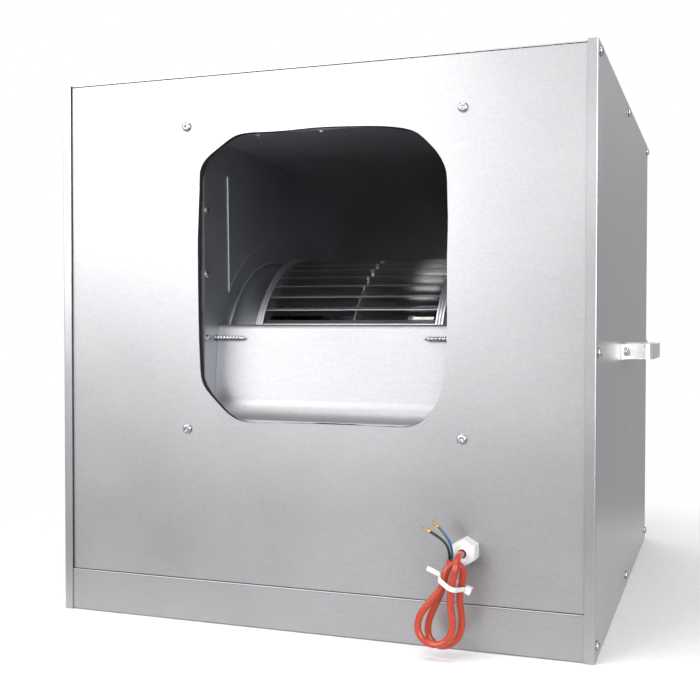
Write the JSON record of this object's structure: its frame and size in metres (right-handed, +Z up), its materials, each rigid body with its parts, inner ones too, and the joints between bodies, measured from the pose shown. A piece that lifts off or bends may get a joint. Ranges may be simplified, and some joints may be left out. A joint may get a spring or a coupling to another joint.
{
  "type": "box exhaust fan",
  "caption": "Square galvanised sheet box with carrying handles and a scroll blower inside that draws air in at the rear and blows it out of a rounded front opening.",
  "frame": {"origin": "centre of the base on the floor, under the middle of the box without its collar and cord", "axes": "+X to the right seen from the front, +Y to the rear, towards the intake collar, +Z up"},
  "size_m": [0.56, 0.6224, 0.5],
  "materials": {
    "galvanised_sheet": "hot-dip galvanised sheet, fine even spangle",
    "zinc_plated_steel": "bright zinc plating",
    "black_foam": "open-cell acoustic foam",
    "cast_aluminium": "die cast, matt",
    "motor_steel": "rolled steel shell, dull",
    "bearing_steel": "ground",
    "black_rubber": "moulded, matt",
    "white_nylon": "moulded nylon",
    "white_polypropylene": "moulded, smooth",
    "red_silicone": "extruded silicone, satin",
    "blue_insulation": "extruded, satin",
    "black_insulation": "extruded, satin",
    "earth_insulation": "green with a yellow stripe",
    "tinned_brass": "stamped and crimped"
  },
  "bodies": {
    "housing": {"base_tray": "galvanised_sheet", "front_panel": "galvanised_sheet", "rear_panel": "galvanised_sheet", "top_panel": "galvanised_sheet", "left_side_panel": "galvanised_sheet", "right_side_panel": "galvanised_sheet", "intake_collar": "galvanised_sheet", "scroll_wrap": "galvanised_sheet", "left_side_plate": "galvanised_sheet", "right_side_plate": "galvanised_sheet", "left_inlet_cone": "galvanised_sheet", "right_inlet_cone": "galvanised_sheet", "cutoff_plate": "galvanised_sheet", "outlet_flange": "galvanised_sheet", "left_foot": "galvanised_sheet", "right_foot": "galvanised_sheet", "motor_band": "galvanised_sheet", "motor_arms": "galvanised_sheet", "capacitor_clip": "galvanised_sheet", "side_panel_screws": "zinc_plated_steel", "outlet_screws": "zinc_plated_steel", "left_handle": "zinc_plated_steel", "right_handle": "zinc_plated_steel", "handle_screws": "zinc_plated_steel", "intake_rivets": "zinc_plated_steel", "cutoff_screws": "zinc_plated_steel", "flange_rivets": "zinc_plated_steel", "foot_bolts": "zinc_plated_steel", "arm_bolts": "zinc_plated_steel", "band_bolts": "zinc_plated_steel", "front_lining": "black_foam", "rear_lining": "black_foam", "left_lining": "black_foam", "right_lining": "black_foam", "top_lining": "black_foam", "base_lining": "black_foam", "motor_inner_cap": "cast_aluminium", "motor_outer_cap": "cast_aluminium", "motor_shell": "motor_steel", "motor_bearings": "bearing_steel", "rubber_mounts": "black_rubber", "arm_grommets": "black_rubber", "motor_lead": "black_rubber", "gland_body": "white_nylon", "gland_cap": "white_nylon", "gland_locknut": "white_nylon", "cable_tie": "white_nylon", "capacitor": "white_polypropylene", "supply_cord": "red_silicone", "blue_core": "blue_insulation", "black_core": "black_insulation", "earth_core": "earth_insulation", "core_ferrules": "tinned_brass"},
    "rotor": {"wheel_left_ring": "galvanised_sheet", "wheel_right_ring": "galvanised_sheet", "wheel_blades": "galvanised_sheet", "wheel_disc": "galvanised_sheet", "wheel_hub": "cast_aluminium", "hub_clamp_screw": "zinc_plated_steel", "motor_shaft": "zinc_plated_steel"}
  },
  "joints": [
    {"name": "wheel_spin", "type": "hinge", "parent": "housing", "child": "rotor", "pos_m": [0.01575, -0.097, 0.21305], "axis": [1, 0, 0], "continuous": true}
  ]
}
